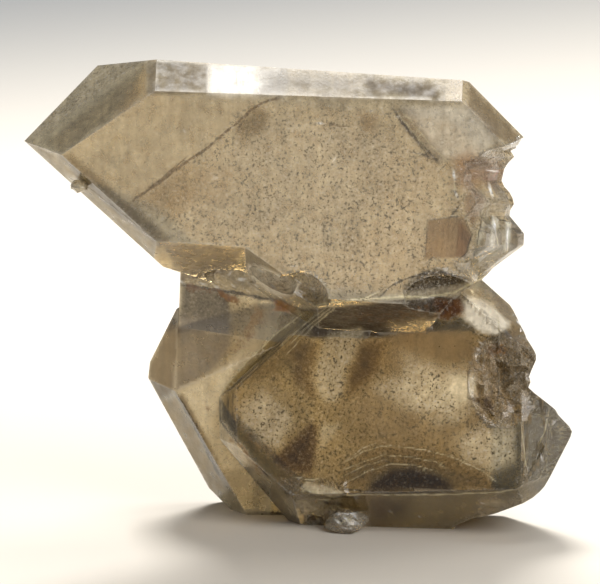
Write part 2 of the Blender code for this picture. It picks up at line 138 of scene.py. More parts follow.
# zones on the front: soft edge in mm, tone, share of it, haze, frost, specks, and the outline as
# right, up, right, up, ...
frontZones = [
    # upper crystal
    ("rhomb face", 0.3, "#DACAA3", 0.9, 0.4, 0.25, 0.05, [-15.3, 47.9, -27.2, 39.7, -23.9, 38.4,
     -15.3, 44.4]),
    ("rhomb face shade", 0.7, "#A48C5E", 0.6, 0.35, 0.25, 0, [-15.3, 44.4, -15.3, 47.4, -18.5, 45.2,
     -25.2, 39.9, -23.9, 38.4]),
    ("smooth corner", 0.9, "#E6D4AC", 0.7, 0.4, 0.25, 0.12, [-15.3, 44.4, -5, 44.2, -8, 41, -17, 34,
     -23.9, 38.4]),
    # painted reflection: the top strip's bright part is a painted highlight of the overhead lamp, with
    # painted duller shade left and right of it
    ("top strip painted reflection left", 0.2, "#6A5A3C", 0.85, 0.7, 0.7, 0, [-15.3, 47.9, -9.1, 47.6, -9.1, 44.6,
     -15.3, 44.6]),
    ("top strip painted reflection", 0.5, "#FFFAEE", 0.9, 0.85, 0.06, 0, [-9.1, 47.7, -1.5, 47.2, -1.5, 44.4, -9.1, 44.6]),
    ("top strip painted reflection middle", 1.5, "#7A6E58", 0.9, 0.7, 0.5, 0, [-4, 47.4, 6, 46.8, 6, 43.9, -4, 44.3]),
    ("top strip painted reflection right", 1.5, "#5E5038", 0.97, 0.9, 0.7, 0, [6, 46.9, 14.6, 46, 14.6, 43.2, 6, 44]),
    ("left band", 0.25, "#C4B28C", 0.8, 0.6, 0.45, 0, [-27.2, 39.7, -23.9, 38.4, -13.8, 29.8, -11.9, 25.7,
     -20, 32.5]),
    ("left band line", 0.3, "#6F5B34", 0.75, 0.3, 0.3, 0, [-23.9, 38.4, -23, 38.7, -13, 30.2, -13.8, 29.2,
     -19, 33.3]),
    ("left ledge", 0.2, "#D9CDAE", 0.9, 0.7, 0.3, 0, [-23.4, 36.4, -22.4, 36.3, -21.6, 35.2, -21.8, 34.6,
     -23, 34.8]),
    ("under left", 0.2, "#7F6C4E", 0.85, 0.9, 0.3, 0, [-13.8, 29.8, -5.4, 29.2, -7, 26.6, -11.9, 25.7]),
    ("brown patch", 0.6, "#84692F", 0.65, 0.3, 0.25, 0.3, [-6.5, 41, -4.6, 43.4, -3.2, 42.6, -3.4, 41,
     -5.2, 40.2]),
    ("brown haze low", 1.2, "#AD8E5A", 0.5, 0.35, 0.25, 0.5, [-17.1, 33.7, -12, 37.2, -6.5, 37, -7, 34,
     -12, 32.4]),
    ("speckled field", 1.2, "#F4E6C8", 0.25, 0.42, 0.22, 1, [-9, 38.6, -1, 42.5, 9, 40, 13.5, 36,
     13, 28.2, 5, 24.2, -6, 29.2, -13, 30.5]),
    ("field shade right", 1.5, "#CDB890", 0.3, 0.4, 0.24, 1, [5, 39, 12.5, 38, 13.2, 26, 4, 24]),
    ("scallop shade", 0.4, "#A3916A", 0.8, 0.6, 0.2, 0.3, [-5, 29.2, 0.5, 25.8, 3.4, 23.8, 1, 23.2,
     -6.6, 24.6, -11.5, 25.6, -7.4, 26.8]),
    # painted light: this scoop faces away from the lamps and is painted pale as if lit
    ("scoop", 0.3, "#FFF4DC", 0.95, 0.9, 0.25, 0.2, [-5.2, 27.5, -3.8, 27.4, -1.4, 26.3, -0.1, 25.6,
     -0.2, 24.7, -1.5, 24.4, -3.2, 24.8, -4.8, 26.1]),
    # painted shade on the underside shell at the end, which faces down
    ("end shell", 0.25, "#4A3817", 0.9, 0.6, 0.2, 1, [10.33, 25.3, 12.44, 26.8, 14.16, 27, 17.03, 26.04,
     15.3, 24.9, 10.7, 24.32]),
    ("brown spot", 0.5, "#8F6F3C", 0.6, 0.3, 0.25, 0.2, [6, 42.8, 7.8, 42.4, 7.6, 40.8, 6.2, 41]),
    ("end window", 0.5, "#F8EED8", 0.7, 0.52, 0.22, 0.6, [10.2, 43.2, 17.2, 43.5, 20, 41, 18.5, 38.6,
     14, 38]),
    ("feather shade", 0.3, "#6E5C3C", 0.6, 0.45, 0.25, 0.3, [9.6, 43.2, 10.3, 43, 12.4, 40.8, 14.6, 38.2,
     13.7, 37.6, 11.8, 39.4, 10.4, 41.2]),
    ("reddish end", 0.9, "#A8724F", 0.7, 0.3, 0.25, 0.2, [15.5, 38, 16.8, 38.7, 18.4, 38.2, 20, 38.2,
     20.3, 36.6, 19.7, 35.3, 18.2, 36, 17, 35, 15.7, 35.6]),
    ("brown block", 0.15, "#A08460", 0.8, 0.28, 0.2, 0.1, [12.82, 31.97, 16.26, 32.36, 17.22, 30.63,
     16.45, 28.24, 12.44, 28.15]),
    ("end bevel", 0.3, "#8B7B5C", 0.7, 0.28, 0.2, 0.2, [17, 45.4, 19.7, 42.7, 22.3, 40, 21.2, 39.4,
     19.1, 40.6, 16.8, 43.3]),
    ("brown block side", 0.15, "#6E3E1A", 0.6, 0.25, 0.2, 0, [15.9, 32, 17.1, 30.4, 16.6, 28.3,
     15.6, 28.4]),
    ("grey shards", 0.3, "#B9B59A", 0.75, 0.3, 0.12, 0, [19.3, 32.4, 20.9, 31.8, 22.4, 30, 19.6, 28.4,
     17.4, 27.6, 17.4, 30.6]),
    ("end dark", 0.2, "#6F634E", 0.8, 0.15, 0.12, 0, [21.2, 31.9, 22.4, 30.7, 22.4, 29.7, 20.9, 28.7]),
    ("block top", 0.15, "#A08268", 0.7, 0.45, 0.15, 0, [16.4, 33.4, 17.2, 31.4, 18, 32.6, 18.6, 34,
     17.8, 35, 16.6, 34.6]),
    # the shards at the end, light and dark: painted lit and shaded facets
    ("shard light left", 0.12, "#DAD6C0", 0.75, 0.6, 0.1, 0, [17.6, 30, 18.2, 31.8, 18.7, 32.6, 18.9, 32,
     18.4, 30.4, 18, 29]),
    ("shard dark left", 0.12, "#857A5E", 0.8, 0.5, 0.1, 0, [18.7, 32.6, 19.2, 32.5, 18.9, 29.6, 18, 28.4,
     17.6, 29, 18.4, 30.4]),
    ("shard light middle", 0.12, "#F6F2E2", 0.85, 0.75, 0.1, 0, [19.2, 32.5, 19.9, 32.1, 19.7, 31,
     19.4, 29, 19, 29.6]),
    ("shard dark middle", 0.12, "#8B8168", 0.8, 0.5, 0.1, 0, [20, 32, 20.5, 31.9, 20.4, 29, 19.6, 28.8]),
    ("shard light right", 0.12, "#DCDCCF", 0.85, 0.7, 0.1, 0, [20.5, 32, 21.1, 31.7, 20.9, 29.2,
     20.5, 28.8]),
    # painted light along the thin lower rim, where light comes through it
    ("lower rim", 0.2, "#F3E7C6", 0.7, 0.45, 0.15, 0, [18.3, 26.1, 22.4, 29.7, 22.2, 29, 19.4, 26.6,
     17.4, 24.8, 8, 23.6, 8, 24.4, 16.6, 25.6]),
    # lower crystal: its windows are painted light and its dark zones painted shade, for the light and
    # dark that it refracts and reflects inside; first the painted shade that the upper crystal casts on
    # it
    ("painted shade under the upper crystal", 0.25, "#241200", 0.95, 0.92, 0.45, 0.2, [0, 23.1, 4, 23.4, 9.95, 24.06, 16.2, 24.4,
     16.6, 23, 14.88, 21.9, 13.7, 22.2, 12.16, 21.3, 10.46, 20.4, 8.76, 20.3, 4, 20.2, 1.2, 20.2,
     -0.2, 20.4]),
    ("rust in the contact", 0.5, "#5E3410", 0.8, 0.72, 0.4, 0.4, [13.4, 23.9, 16.2, 24.2, 16.5, 22.8,
     14.9, 22, 13.7, 22.4]),
    # painted light: this window and the ones below are painted bright where the crystal shows light
    # refracted through it
    ("cream window", 0.25, "#FFF4DC", 0.95, 0.85, 0.3, 0, [16.6, 24.5, 18.6, 23.8, 19.8, 22.9, 21, 21.9,
     20.9, 21.2, 19.7, 20.5, 18.1, 20.7, 16.3, 22.1]),
    ("upper shade", 0.9, "#B39E78", 0.8, 0.18, 0.12, 0, [9.1, 21.4, 12, 21.9, 17, 20.8, 17.6, 17.8,
     15, 17.6, 9, 17]),
    ("right field", 1.2, "#D6C39A", 0.7, 0.14, 0.1, 0.8, [4.6, 13.4, 9.5, 16.4, 17.8, 18, 21.4, 13,
     21.4, 6.6, 14, 9.8, 8, 10.4]),
    ("window right", 1.3, "#F8E4B8", 0.85, 0.58, 0.12, 1, [10.5, 18.7, 14.5, 16.8, 16.9, 17.2, 18.3, 15.8,
     18, 14.1, 16.6, 12.6, 14.2, 11.9, 11.1, 12.9, 9.1, 14.1, 7.4, 15.1, 10.5, 16.5]),
    ("window clear", 0.7, "#FFEBBF", 0.8, 0.72, 0.12, 0.1, [14.9, 16.5, 17.6, 16.3, 18.3, 15.1,
     17.6, 14.1, 15.9, 13.8, 14.9, 14.8]),
    ("window low right", 1, "#F8E4B8", 0.9, 0.54, 0.12, 1, [15.7, 9.84, 17.6, 11.54, 21, 11.6, 21.8, 10.9,
     21.8, 7.8, 18.97, 6.6, 16.9, 8]),
    ("window middle", 0.5, "#EEDCB2", 0.9, 0.42, 0.12, 1, [2.2, 19.6, 3.1, 20.5, 6.1, 20.9, 6.1, 19.6,
     4.7, 17.2, 4.2, 14.7, 3.5, 13.8, 2.2, 14, 1.4, 16.1]),
    ("window left", 0.6, "#EEDCB4", 0.9, 0.42, 0.12, 1, [-6.2, 13.3, -3.7, 14.9, -1.4, 13.3, -0.6, 11.6,
     -2.1, 9.3, -3.9, 9.6, -4.8, 10.7, -5.5, 11.6]),
    ("window left top", 0.4, "#C9B68C", 0.7, 0.2, 0.12, 0.5, [-5.8, 15.2, -4, 16, -1, 14.6, -1.6, 13.6,
     -3.7, 15]),
    ("olive frame", 0.5, "#7D6A3C", 0.7, 0.08, 0.12, 0.2, [-6.6, 15.4, -1.6, 20.6, 1, 20.8, -0.6, 17.6,
     -3.6, 16.2]),
    # painted shade: this and the dark triangle stand for dark that the crystal reflects inside
    ("brown between", 0.5, "#6B5430", 0.8, 0.05, 0.12, 0.3, [-0.9, 20, 1.9, 19.6, 1.2, 16.5, 1.5, 13.7,
     -0.6, 15.8]),
    ("dark triangle", 0.35, "#4A3114", 0.9, 0.05, 0.12, 0.5, [1.2, 11.9, 1.9, 11.2, 1.7, 9.3, 1.2, 6.5,
     -0.6, 6.8, -2.7, 8.1]),
    ("light wedge", 0.3, "#EBDDB6", 0.8, 0.3, 0.12, 0.8, [2.1, 11.4, 4.2, 11.7, 3.3, 10.2, 1.9, 9.1]),
    # painted shade: a dark column that the crystal reflects inside
    ("dark column", 0.5, "#6F592F", 0.85, 0.05, 0.12, 0.2, [6.1, 19.6, 8.6, 20, 7.9, 17.2, 5.6, 14.7,
     4.7, 13.7, 5, 16.5]),
    ("phantom", 0.6, "#6E5D34", 0.55, 0.08, 0.12, 0.5, [4, 7.5, 6, 8.7, 8.25, 9.42, 10.8, 9.25,
     13.5, 8.82, 15.9, 8, 18.1, 6.95, 21, 4.9, 4, 4.9]),
    # painted shade: the dark band above the lower crystal's bottom edge
    ("dark base", 0.6, "#241503", 0.95, 0.45, 0.12, 0.2, [6.55, 4.66, 7.06, 5.76, 9.1, 7.12, 11.65, 7.3,
     13.86, 6.61, 15.56, 5.42, 15.05, 4.66]),
    ("bevel band", 0.15, "#7C6B3A", 0.85, 0.34, 0.2, 0, [0.5, 22.9, -2.14, 20.95, -5.12, 18.05,
     -7.23, 15.77, -8.02, 14.46, -8.02, 12.1, -6.7, 10.33, -3.72, 7, -2.93, 5.95, -1.1, 6.3, -3.8, 8.8,
     -6, 11.12, -6.7, 12.1, -6.61, 14.9, -6.2, 15.6, -3.9, 17.53, -1.61, 19.63, 1.8, 22.8]),
    ("lower strip", 0.15, "#8F7A4C", 0.92, 0.44, 0.16, 0.1, [4, 4.5, 21.7, 5, 20, 3.2, 14, 1.6, 4, 1]),
    ("strip brown", 0.8, "#4A3414", 0.7, 0.06, 0.16, 0.1, [7.1, 3.9, 11.1, 3.9, 10.5, 2.2, 7.5, 2.2]),
    ("strip left", 0.4, "#A39370", 0.7, 0.5, 0.2, 0.2, [-3, 4, 4, 4.3, 4, 1.6, -1, 1.2]),
    ("strip right", 0.6, "#B0A081", 0.7, 0.5, 0.2, 0.1, [17.8, 4.3, 24.6, 4.8, 23, 3.2, 17.8, 1.8]),
    ("chip facets", 0.12, "#D6C8A6", 0.85, 0.72, 0.2, 0, [0.6, 5.9, 3, 5.3, 4.4, 4.8, 3.8, 4.2, 2, 4.4,
     0, 5.1]),
    # painted shade in the gap between the chips
    ("chip gap", 0.1, "#2E1E0A", 0.85, 0.72, 0.2, 0, [2.2, 4, 4.6, 3.8, 4.4, 3.3, 2.4, 3.5]),
    ("chip facet low", 0.12, "#BFB08E", 0.8, 0.62, 0.2, 0, [-1.6, 4.2, 0.4, 4, 1.8, 3.2, 0, 2,
     -1.4, 2.8]),
    ("right end", 0.4, "#9C8E70", 0.7, 0.35, 0.2, 0.1, [21.7, 12, 25.5, 13, 27.2, 11, 25, 6, 21.7, 5.1]),
    ("right end streaks", 0.3, "#A8976E", 0.6, 0.28, 0.2, 0.2, [21.7, 11.5, 24, 12, 23.6, 7, 21.7, 6.6]),
    ("hackly patch", 0.3, "#B89C72", 0.7, 0.35, 0.3, 0.8, [17.3, 19.4, 17.1, 17.2, 18, 16.2, 17.1, 14.1,
     18.8, 12.8, 20.6, 11.8, 22.6, 11.9, 23.1, 14, 23.6, 18.4, 22.5, 20.4]),
    # painted shade in the gash
    ("patch gash", 0.2, "#2E1E0A", 0.9, 0, 0.3, 0, [17.1, 14.1, 18.8, 14.4, 19.4, 13, 18.6, 12.9]),
    ("patch rust", 0.4, "#7C4D18", 0.7, 0.2, 0.3, 0, [18.4, 19.2, 20.2, 19.4, 20.6, 18.6, 19, 18.3]),
    ("grey top right", 0.3, "#A89F8C", 0.7, 0.45, 0.2, 0, [18.6, 25.7, 21, 23.8, 22.6, 20.9, 21, 21.9,
     19.8, 22.9]),
    ("foot lump", 0.2, "#DDD2BC", 0.97, 0.3, 0.3, 0, [2.6, 2.9, 6.8, 2.9, 6.8, 0.4, 2.6, 0.4]),
    # side crystal
    ("neck pale", 0.5, "#B59F72", 0.8, 0.4, 0.45, 0.8, [-8, 24.8, -3, 23.2, -4, 21.4, -7.6, 17.4,
     -9.6, 18.4, -7, 21.8]),
    # painted shade where the side crystal runs under the upper crystal's overhang
    ("neck", 0.4, "#32261A", 0.8, 0.8, 0.45, 0.25, [-11.8, 25.4, -7, 24.8, -7, 21, -12.2, 21.9]),
    ("side upper facet", 0.4, "#867A6B", 0.8, 0.55, 0.3, 0.1, [-12.1, 22.3, -7, 22, -6.8, 19.5,
     -8.5, 17.2, -10.4, 15.8, -12.4, 14.9, -12.4, 19]),
    ("side lower facet", 0.35, "#FBE8BE", 0.9, 0.58, 0.3, 0.3, [-12.3, 14.9, -10.2, 15.8, -7.9, 17,
     -6, 18.3, -7.8, 14.5, -7.8, 12, -3.8, 7, -4.5, 5.4, -7.2, 5.8, -9.5, 10]),
    ("wedge", 0.25, "#DCC493", 0.9, 0.75, 0.35, 0.4, [-8.1, 11.6, -6.8, 10.1, -3.8, 6.8, -2.7, 5.6,
     -3.8, 5.6, -6.4, 8, -7.9, 10]),
    ("side foot", 0.4, "#9F8D68", 0.7, 0.3, 0.3, 0.1, [-7.4, 6.8, -4, 7.8, -3, 5.6, -3.6, 3.2, -7, 3]),
    ("side rim", 0.2, "#7F6C4C", 0.85, 0.3, 0.45, 0, [-12.8, 22.3, -12, 21, -12.5, 17.5, -12.9, 14.8,
     -14, 13.8, -15.2, 16.8]),
    ("side rim low", 0.3, "#AC9566", 0.85, 0.45, 0.45, 0.1, [-14.4, 13.8, -12.4, 14.2, -7.4, 5.2,
     -8.8, 4.6]),
    ("side rim line", 0.2, "#6A552F", 0.8, 0.2, 0.3, 0, [-12.3, 14.4, -11.7, 14.6, -6.9, 5.6, -7.4, 5.2]),
]

# iron stains: soft edge, amount, outline
rustZones = [
    ("under the ledge left", 0.3, 0.55, [-11.6, 25.9, -8, 25, -7.6, 24.2, -11.4, 24.6]),
    ("under the ledge", 0.3, 0.9, [-8.4, 25, -6.2, 24.7, -5.8, 23.3, -7.8, 24.2]),
    ("contact corner", 0.35, 1, [-2.6, 24.3, -0.4, 23.4, -0.6, 22.4, -2.8, 22.8]),
    ("neck band", 0.6, 0.62, [-4.6, 23.6, -2.6, 22.6, -5.6, 18.6, -8.2, 17.6, -6, 20.6]),
    ("contact rust", 0.5, 0.5, [13, 24.1, 16.6, 24.2, 16.7, 22.2, 15.2, 21.6, 13, 22]),
    ("contact brown", 0.6, 0.45, [4, 23, 13, 23.9, 13, 22, 9, 21.2, 4, 21.6]),
    ("side spot", 0.3, 0.7, [-9.7, 13.8, -8.8, 13.7, -8.9, 12.6, -9.7, 12.9]),
    ("side streak", 0.3, 0.65, [-8.4, 10.6, -6.1, 10.5, -4.6, 8.2, -3.4, 6.6, -4.2, 6.3, -6.4, 9.4]),
    ("side foot", 0.4, 0.45, [-8, 8.4, -7.2, 8.4, -6.4, 5.6, -7.4, 5.9]),
    ("patch rust", 0.3, 0.55, [18.2, 19.5, 20.6, 19.8, 20.8, 18.3, 18.6, 18.2]),
    ("end reddening", 0.9, 0.3, [17.6, 37.4, 19.8, 38, 20.3, 36.8, 19.6, 35.8, 18.4, 36.4]),
]

# freshly broken and glittering, in the same order
glintZones = [
    ("foot lump", 0.2, 0.1, [2.6, 2.9, 6.8, 2.9, 6.8, 0.4, 2.6, 0.4]),
    ("ledge scoops", 0.5, 0.55, [-12, 25.6, -10.8, 26.8, -6, 27.8, -3.8, 27.2, -1.5, 25, 0, 23.8,
     -1, 23.2, -3.8, 24.2, -8.5, 25]),
    ("end shell", 0.4, 0.8, [10.3, 25.2, 12.4, 26.8, 14.1, 27, 17, 26.1, 15.3, 24.9, 10.7, 24.3]),
    ("hackly patch", 0.4, 0.7, [17.3, 19.4, 17.1, 17.2, 18, 16.2, 17.1, 14.1, 18.8, 12.8, 22.6, 11.9,
     23.6, 18.4, 22.5, 20.4]),
    ("chips", 0.4, 0.6, [-1.6, 6.4, 4.4, 5.8, 4.6, 4.4, -1, 4.2]),
    ("end shards", 0.6, 0.4, [15, 37.4, 20.4, 36.8, 22.6, 30, 18, 27.4, 15.4, 32.6]),
]

# thin things seen as lines, cut finer into the faces: width in mm and path as right, up, right, up, ...
lineWork = {
    # open cracks seen edge on
    "darkCracksAndGapShade": {"tone": "#2E220D", "share": 0.9, "haze": 0.7, "lines": [
        # the first line is the gap under the upper crystal, painted dark as shade between the crystals
        (0.3, -12.05, 25.6, -8.5, 25, -6.7, 24.8, -3.7, 24.2, -1.6, 23.84, -0.74, 23.23, 0.5, 23.05),
        (0.22, 9, 43.45, 10.5, 41.5, 12.2, 39.6, 13.4, 38.2, 14.1, 37.5),
        (0.16, 9.4, 42.7, 11, 40.6, 13.2, 38), (0.14, 10.7, 38.9, 12, 38.6, 13.3, 38),
        (0.12, 11.5, 39.1, 12.5, 38.5, 13.4, 37.9), (0.18, 7.65, 24, 9.2, 25.5, 11.1, 26.3, 13.4, 27),
        (0.16, 13.4, 27, 15, 26.6, 16.7, 26.1), (0.12, 12.8, 32, 16.3, 32.4),
        (0.12, 16.3, 32.4, 17.2, 30.6, 16.45, 28.24), (0.1, 12.8, 32, 12.45, 28.2),
        (0.12, 12.4, 27.4, 13.2, 28.2, 14, 27.8), (0.12, 18.3, 32.7, 17.3, 27.8),
        (0.1, 16.4, 32.2, 18.4, 34.5), (0.12, 14.7, 31.9, 16.5, 34.1),
        (0.1, 19.3, 32.8, 20, 32, 21.2, 31.8), (0.1, 20.8, 31.8, 20.6, 28.5),
        (0.1, 19.9, 21, 19.8, 18.8, 19.85, 14.8, 19.7, 13), (0.08, 20.35, 19.9, 20.4, 14),
        (0.16, 4, 5.15, 6.6, 4.85, 10, 4.7, 15, 4.64), (0.12, 21.8, 11.5, 21.75, 9.5, 21.75, 5),
        (0.12, -8.05, 14.4, -8.05, 12, -6.7, 10.25, -3.7, 6.9, -2.9, 5.9),
        (0.12, -6.65, 14.9, -6.7, 12.1, -6, 11.1), (0.1, -7.2, 14.7, -7.2, 12.2, -6.4, 10.9),
        (0.12, -6.65, 14.9, -3.9, 17.5, -1.6, 19.6, 1.8, 22.8),
        (0.1, -7.2, 14.7, -5.3, 16.9, -2, 20, 1.2, 22.8),
        (0.3, -12.5, 14.8, -11.1, 12.6, -9.5, 9.5, -8.5, 7.2, -7.8, 6.1),
        (0.12, 2, 4, 4.5, 4.3, 6.6, 4.1), (0.12, -1.4, 5.9, 0, 5.4, 1.2, 4.6),
        (0.1, 15.4, 22.1, 17, 21, 18.7, 20.2, 20.2, 20.3), (0.12, 3.9, 1.7, 5.2, 2.8, 6.6, 3),
        (0.12, 3.6, 2.6, 4.6, 1.1), (0.12, 5.2, 2.8, 6, 1.2), (0.12, 4.2, 1, 5.8, 1.2),
        (0.1, 4.4, 2.2, 5.6, 1.9), (0.1, 3.2, 1.6, 4.2, 2)
    ]},
    # growth lines and healed veils
    "growthLines": {"tone": "#E4D8B0", "share": 0.8, "haze": 0.62, "lines": [
        (0.1, 4, 7.5, 6, 8.7, 8.25, 9.42, 10.8, 9.25, 13.5, 8.82, 15.9, 8, 18.1, 6.95, 20, 5.6),
        (0.08, 4, 6.8, 6.2, 7.8, 8.4, 8.5, 11.1, 8.3, 13.5, 7.8, 14.9, 7.1),
        (0.07, 4.3, 5.6, 7.06, 6.95, 9.1, 7.63, 11.65, 7.46, 13.86, 6.8),
        (0.07, 4.1, 6.3, 6.6, 7.5, 8.8, 8.1), (0.07, 4.4, 7.9, 6.2, 9.1, 7.8, 9.8),
        (0.12, 0.5, 22.8, -2.14, 20.85, -5.12, 17.95, -7.23, 15.67, -7.95, 14.46),
        (0.08, 3.7, 23.4, 1.2, 21.3, -0.4, 19.5, -1.5, 18.3), (0.07, 3.3, 23.4, 0.5, 21.1, -1.1, 19.5),
        (0.07, 2.7, 23.3, 0, 21.2, -2, 19.3), (0.1, 10, 43.2, 11.8, 41, 13.8, 38.7, 15.2, 37.5),
        (0.07, 9.6, 43, 11.2, 40.9, 12.8, 39), (0.16, 15.35, 37.2, 15.5, 35.6, 15.6, 34.1),
        (0.14, 19.3, 32.4, 19.65, 31.2, 19.8, 29), (0.12, 20.8, 31.9, 20.75, 30.8, 20.7, 28.4),
        (0.14, 18, 31.6, 17.6, 30), (0.12, 18.9, 35.8, 19.2, 34.8, 19.4, 34.1),
        (0.14, 4, 4.54, 10, 4.5, 16, 4.6, 20, 4.8, 21.8, 5.1), (0.1, 23.8, 9.2, 24.5, 11, 24.8, 12.6),
        (0.08, 25, 11.2, 25.6, 11.8), (0.1, 22.2, 11.2, 22.6, 7), (0.12, 0.2, 5.1, 1.8, 4.8, 3.4, 5.3),
        (0.1, -1, 6.4, 0.8, 6, 2.2, 6.2), (0.1, 1.6, 4, 3.2, 4.1), (0.1, 3.2, 2.4, 4.1, 1.6, 5.2, 2.2),
        (0.08, 3.8, 1.2, 4.6, 2.1, 5.8, 1.9), (0.08, 4.5, 2.6, 5.2, 1.3),
        (0.08, 19.7, 22.8, 19.9, 21.8, 19.8, 20.6)
    ]},
    # painted light along the thin broken rim, where light comes through
    "paintedLightRim": {"tone": "#F6E9BE", "share": 0.9, "haze": 0.75, "lines": [
        (0.2, 1.2, 23.4, 2.9, 23.7, 5.2, 24, 7.6, 24.15, 10, 24.3,
        12.4, 24.3, 15.3, 24.7, 18.4, 26.3, 20, 27.4, 22.3, 29.4), (0.14, 4.5, 23.8, 6.8, 24.3, 8, 24.8)
    ]},
    # iron stained healed crack
    "healedCrack": {"tone": "#5A3F16", "share": 0.75, "haze": 0.4, "lines": [
        (0.3, -1.9, 44.3, -3.8, 43.7, -5, 42.9, -6.5, 41.5, -7.8, 40.5, -8.4, 39.8),
        (0.24, -8.4, 39.8, -10, 38.7, -11.8, 37.5, -14, 35.8, -17.1, 33.7),
        (0.14, -5, 42.9, -5.7, 41.9, -6.4, 40.7), (0.12, -11, 38.6, -12.8, 37, -15, 35.3),
        (0.14, 2.6, 41.8, 3.8, 41.4, 5.2, 41.3)
    ]},
    # striations across the top facet
    "stripLines": {"tone": "#EFE4C6", "share": 0.75, "haze": 0.62, "lines": [
        (0.1, -6.3, 47.1, -6.3, 44.8), (0.08, -5.7, 47.1, -5.7, 44.7), (0.1, -5.2, 47.1, -5.2, 44.7),
        (0.07, -4.3, 47, -4.3, 44.6), (0.07, -9.1, 47.2, -9.1, 44.7)
    ]},
    # hatching on the brown cleaved block
    "blockHatch": {"tone": "#6B4726", "share": 0.5, "haze": 0.4, "lines": [
        (0.08, 13.4 + 0.5 * i, 31.9, 13.1 + 0.5 * i, 28.3) for i in range(7)
    ]},
    # reddish film in the end's cracks
    "redFlush": {"tone": "#9A4A34", "share": 0.6, "haze": 0.6, "lines": [
        (0.16, 18.7, 35.8, 19.4, 36.4, 20.3, 37.2), (0.12, 18, 36.2, 19.2, 36, 20, 36.2),
        (0.14, 20, 36.2, 20.3, 37, 20.9, 37.2)
    ]},
    # painted glints: small breaks painted white as if they caught the light
    "paintedGlints": {"tone": "#FFFFFF", "share": 0.95, "haze": 0.95, "lines": [
        (0.26, -10.1, 25.7, -9.4, 25.5), (0.3, -6.3, 26, -5.4, 26.1), (0.26, -3.1, 25.6, -2.3, 25.1),
        (0.18, -8.6, 25.4, -8.1, 25.2), (0.16, -6.9, 25.6, -6.5, 25.3), (0.18, -4.7, 25.7, -4.2, 25.3),
        (0.2, 17.6, 19.3, 18.1, 18.8), (0.16, 17.8, 19.9, 18.4, 19.5), (0.2, 15.3, 37.1, 15.5, 35.9),
        (0.22, 15.4, 35, 15.8, 34.1), (0.2, 18.8, 35.7, 19.3, 34.2), (0.16, 19.3, 32.3, 19.7, 30.2),
        (0.14, 20.8, 31.7, 20.7, 29), (0.16, 13.7, 26.4, 14.2, 26.1), (0.14, 12, 26.1, 12.4, 26),
        (0.18, 4.3, 2.5, 4.9, 1.7), (0.16, 3.4, 2.1, 4.1, 1.5), (0.16, 5.2, 2.7, 5.7, 2.1),
        (0.12, 3.1, 2.6, 5.8, 2.7), (0.14, 3.8, 1.3, 5.2, 1.1), (0.16, -11.7, 41, -11.4, 40.7),
        (0.12, -8.6, 36.4, -8.3, 36.2), (0.14, 3.3, 38.2, 3.5, 37.9), (0.12, 2.8, 31.2, 3.1, 31),
        (0.12, 17, 42, 17.4, 41.8), (0.14, 1.6, 41.7, 2.6, 41.6), (0.12, 6.9, 43, 7.3, 42.8),
        (0.14, 18.5, 37, 20, 36.8), (0.12, 17.3, 36.8, 17.8, 36.5), (0.18, 21.6, 12.6, 22, 12.5),
        (0.14, 25.2, 11.5, 25.7, 12), (0.16, 24, 8.8, 24.3, 7.8), (0.12, 22.7, 7.5, 22.8, 6.8),
        (0.12, 8.8, 2.9, 9.2, 2.8), (0.12, 11.8, 2.4, 12.1, 2.3), (0.12, 18.1, 3.7, 18.4, 3.6),
        (0.14, -6.8, 4.4, -6.4, 4.6), (0.16, -13.6, 26.2, -12.9, 25.9), (0.2, -12.4, 26.1, -11.6, 25.7),
        (0.12, -7.2, 26.4, -6.8, 26.9), (0.14, -4.2, 27.1, -3.6, 26.7), (0.14, -3.4, 26.2, -3, 26),
        (0.12, -2.2, 24.4, -1.7, 24.2), (0.1, 0.2, 26.8, 0.9, 26.3), (0.1, -0.6, 26.2, 0.2, 25.6),
        (0.1, 1, 25.4, 1.6, 24.9), (0.1, -0.2, 25, 0.6, 24.6), (0.12, -1, 27.4, -0.3, 27.3),
        (0.1, -5.4, 25, -5, 24.8)
    ]},
}

# how the zones and lines are laid on: noise sizes and amounts in mm
painting = {
    "wobble": 0.35, "wobbleSize": 1.6,  # outlines wander by this much
    "wander": 0.08, "wanderSize": 0.9,  # lines wander less
    "uneven": 0.7, "unevenSize": 0.7,  # and swell and thin
    "inner": 0.04, "outer": 0.05,  # soft edge of a line
    "fadeFrom": -0.3, "fadeTo": 0.8,  # and its fading ends
    "near": 0.16, "cuts": 2,  # faces this near a line are cut finer
    "glassy": 0.75,  # fresh breaks lose this share of their frost
    "awayFrom": -0.02, "awayTo": 0.03,  # where faces turn away from the photo
    "seeds": {"wobble": (3.1, 17.7), "wander": (31.0, 47.0), "uneven": 61.0},
}


# signed distance to an outline, positive inside
def insideBy(points, outline):
    corners = np.array(outline).reshape(-1, 2)
    best = np.full(len(points), np.inf)
    inside = np.zeros(len(points), bool)
    for a, b in zip(corners, np.roll(corners, -1, axis=0)):
        along = b - a
        t = np.clip(((points - a) @ along) / (along @ along), 0, 1)
        best = np.minimum(best, np.linalg.norm(points - (a + t[:, None] * along), axis=1))
        crosses = (a[1] > points[:, 1]) != (b[1] > points[:, 1])
        if a[1] != b[1]:
            x = a[0] + (points[:, 1] - a[1]) * along[0] / along[1]
            inside ^= crosses & (points[:, 0] < x)
    return np.where(inside, best, -best)


# how far points are from a path, and how far along it they are from its nearer end
def pathDistance(points, path):
    corners = np.array(path).reshape(-1, 2)
    starts = np.concatenate([[0], np.cumsum(np.linalg.norm(np.diff(corners, axis=0), axis=1))])
    best, along = np.full(len(points), np.inf), np.zeros(len(points))
    for a, b, start in zip(corners[:-1], corners[1:], starts):
        way = b - a
        t = np.clip(((points - a) @ way) / (way @ way), 0, 1)
        far = np.linalg.norm(points - (a + t[:, None] * way), axis=1)
        along = np.where(far < best, start + t * np.linalg.norm(way), along)
        best = np.minimum(best, far)
    return best, np.minimum(along, starts[-1] - along)


